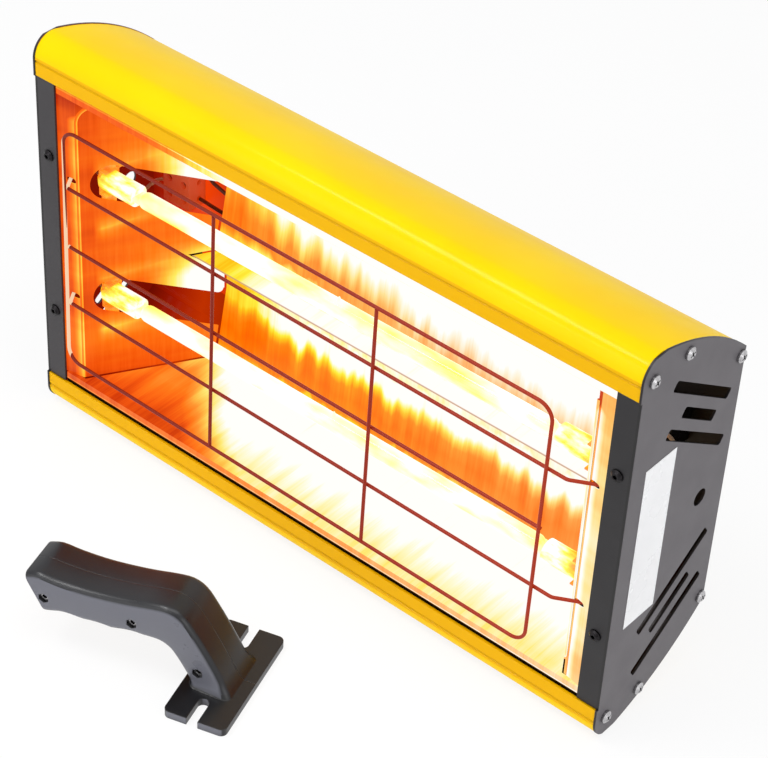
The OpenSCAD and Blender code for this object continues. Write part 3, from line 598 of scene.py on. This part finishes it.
# Which nodes wear which material
groups = [
    (shell_paint(), ["top_shell", "bottom_shell"]),
    (cap_paint(), ["left_end_cap", "right_end_cap"]),
    (panel_paint(), ["back_panel"]),
    (metal("zinc_screw", srgb(160, 158, 160), srgb(205, 204, 206), rough=(0.2, 0.34)),
     ["left_cap_screws", "right_cap_screws", "handle_weld_nuts", "terminal_screws", "earth_stud",
      "handle_screws", "handle_nuts"]),
    (metal("black_screw", srgb(30, 28, 29), srgb(52, 50, 52), rough=(0.25, 0.4)),
     ["left_flange_screws", "right_flange_screws", "back_panel_screws"]),
    (main_sheet(), ["main_reflector"]),
    (end_sheet("left_sheet", -1), ["left_end_reflector"]),
    (end_sheet("right_sheet", 1), ["right_end_reflector"]),
    (glowing("quartz_glow", [(0.0, 0.96), (90.0, 0.92), (150.0, 0.83), (190.0, 0.82)], 0.15, 22.0, rough=0.1),
     ["upper_quartz_tube", "lower_quartz_tube"]),
    (glowing("filament_glow", [(0.0, 1.0), (190.0, 1.0)], 0.05, 60.0), ["upper_filament", "lower_filament"]),
    # The ceramics and clips are no lamps: their glow is painted light from the tubes
    (glowing("ceramic_glow", [(150.0, 0.96), (172.0, 0.84), (184.0, 0.68), (190.0, 0.5)], 0.2, 70.0),
     ["upper_tube_ceramics", "lower_tube_ceramics"]),
    (glowing("clip_steel", [(150.0, 0.42), (181.0, 0.5), (190.0, 0.46)], 0.12, 60.0, rough=0.3),
     ["upper_tube_clips", "lower_tube_clips"]),
    (guard_wire(), ["guard_frame", "guard_rods", "guard_crossbars"]),
    (coat("switch_plastic", srgb(20, 20, 21), srgb(26, 26, 28), rough=(0.22, 0.3), grain=1500.0,
          depth=0.00001, edge=0.0004),
     ["upper_switch_housing", "lower_switch_housing"]),
    (coat("rocker_red", srgb(150, 14, 10), srgb(172, 22, 14), rough=(0.2, 0.28), grain=1500.0,
          depth=0.00001, edge=0.0005, specular=0.2),
     ["upper_rocker", "lower_rocker"]),
    (coat("gland_plastic", srgb(26, 26, 28), srgb(34, 34, 36), rough=(0.5, 0.6), grain=1800.0,
          depth=0.00002, edge=0.0004),
     ["gland_body", "gland_cap", "gland_locknut"]),
    (block_plastic(), ["terminal_block"]),
    (coat("lead_white", srgb(206, 176, 146), srgb(226, 198, 170), rough=(0.7, 0.85), grain=2500.0,
          depth=0.0001, edge=0.0),
     ["tube_leads"]),
    (coat("lead_brown", srgb(92, 48, 28), srgb(112, 60, 36), rough=(0.5, 0.6), edge=0.0), ["switch_leads"]),
    (coat("label_blank", srgb(246, 246, 247), srgb(252, 252, 253), rough=(0.25, 0.33), grain=1200.0,
          depth=0.00001, edge=0.0),
     ["rating_label"]),
    (grip_plastic(), ["handle_left_half", "handle_right_half"]),
]
looks = {name: material for material, names in groups for name in names}

# Every node keeps its mesh: near points are joined for shading and sharp edges split
WELD_DISTANCE = 0.000004
SHARP_ANGLE = math.radians(24.0)
for name, o in nodes.items():
    o.data.materials.clear()
    o.data.materials.append(looks[name])
    if "custom_normal" in o.data.attributes:
        o.data.attributes.remove(o.data.attributes["custom_normal"])
    for p in o.data.polygons:
        p.use_smooth = True
    weld = o.modifiers.new("weld", "WELD")
    weld.merge_threshold = WELD_DISTANCE
    split = o.modifiers.new("split", "EDGE_SPLIT")
    split.split_angle = SHARP_ANGLE
    split.use_edge_sharp = False


# Floor and backdrop
def seen(tree):
    """One for what the camera, metal and glass see, nought for what lights the object."""
    path = tree.nodes.new("ShaderNodeLightPath")
    out = path.outputs["Is Camera Ray"]
    for other in ("Is Glossy Ray", "Is Transmission Ray"):
        m = tree.nodes.new("ShaderNodeMath")
        m.operation = "MAXIMUM"
        tree.links.new(out, m.inputs[0])
        tree.links.new(path.outputs[other], m.inputs[1])
        out = m.outputs[0]
    return out


def floor_paper():
    """White paper that still keeps some of the object's shadow."""
    shining = 0.86
    t = Tree("floor_paper")
    t.into("Base Color", t.tones(t.noise(scale=3.0, detail=3.0), srgb(250, 250, 250), srgb(253, 253, 253)))
    t.set(Roughness=0.9, Specular_IOR_Level=0.1)
    shine = t.add("ShaderNodeEmission")
    shine.inputs["Color"].default_value = WHITE
    shine.inputs["Strength"].default_value = 1.0
    blend = t.add("ShaderNodeMixShader")
    t.link(t.times(seen(t.nt), shining), blend.inputs[0])
    t.link(t.bsdf.outputs[0], blend.inputs[1])
    t.link(shine.outputs[0], blend.inputs[2])
    t.link(blend.outputs[0], t.out.inputs["Surface"])
    return t.mat


FLOOR_SIZE = 12.0
FLOOR_GAP = 0.0002
bpy.ops.mesh.primitive_plane_add(size=FLOOR_SIZE, location=(0, 0, FLOOR_Z - FLOOR_GAP))
floor = bpy.context.object
floor.name = "floor"
floor.data.materials.append(floor_paper())


def background(tree, colour, strength):
    n = tree.nodes.new("ShaderNodeBackground")
    n.inputs["Color"].default_value = colour
    n.inputs["Strength"].default_value = strength
    return n.outputs[0]


world = bpy.data.worlds.new("studio")
bpy.context.scene.world = world
world.use_nodes = True
nt = world.node_tree
nt.nodes.clear()
world_out = nt.nodes.new("ShaderNodeOutputWorld")
world_mix = nt.nodes.new("ShaderNodeMixShader")
nt.links.new(seen(nt), world_mix.inputs[0])
nt.links.new(background(nt, (0.97, 0.98, 1.0, 1.0), 0.5), world_mix.inputs[1])
nt.links.new(background(nt, WHITE, 1.0), world_mix.inputs[2])
nt.links.new(world_mix.outputs[0], world_out.inputs["Surface"])


# Soft studio lights
def area(name, place, target, size, power):
    data = bpy.data.lights.new(name, "AREA")
    data.shape = "RECTANGLE"
    data.size, data.size_y = size
    data.energy = power
    o = bpy.data.objects.new(name, data)
    bpy.context.scene.collection.objects.link(o)
    o.location = place
    o.rotation_mode = "QUATERNION"
    o.rotation_quaternion = (Vector(target) - Vector(place)).to_track_quat("-Z", "Y")


area("key_top", place=(0.3, -0.3, 1.7), target=(0, -0.05, 0), size=(1.4, 1.0), power=10)
area("strip", place=(-0.48, -0.55, 1.2), target=(0.05, -0.09, 0.13), size=(0.6, 0.22), power=5.5)
area("edge_light", place=(-0.12, -0.9, 0.62), target=(-0.05, -0.22, -0.08), size=(0.7, 0.07), power=0.8)
area("fill_right", place=(1.6, -0.5, 0.6), target=(0.1, -0.05, 0), size=(1.0, 1.0), power=5)
area("fill_front", place=(-0.6, -1.7, 0.5), target=(0, -0.1, 0), size=(1.2, 1.0), power=4)

# Camera at the photograph's place, with its own right, up and forward directions
CAMERA_PLACE = Vector((0.73180, -0.96254, 0.92815))
CAMERA_RIGHT = Vector((0.76211, 0.64576, 0.04680))
CAMERA_UP = Vector((-0.43590, 0.45831, 0.77456))
CAMERA_FORWARD = Vector((-0.47873, 0.61070, -0.63077))
cam_data = bpy.data.cameras.new("photo_camera")
cam_data.lens = 119.72
cam_data.sensor_width = 36.0
cam_data.sensor_fit = "HORIZONTAL"
cam_data.clip_start = 0.05
cam_data.clip_end = 50.0
cam = bpy.data.objects.new("photo_camera", cam_data)
bpy.context.scene.collection.objects.link(cam)
axes = Matrix((CAMERA_RIGHT, CAMERA_UP, -CAMERA_FORWARD)).transposed()
cam.matrix_world = Matrix.Translation(CAMERA_PLACE) @ axes.to_4x4()
bpy.context.scene.camera = cam
bpy.context.scene.view_settings.view_transform = "Standard"
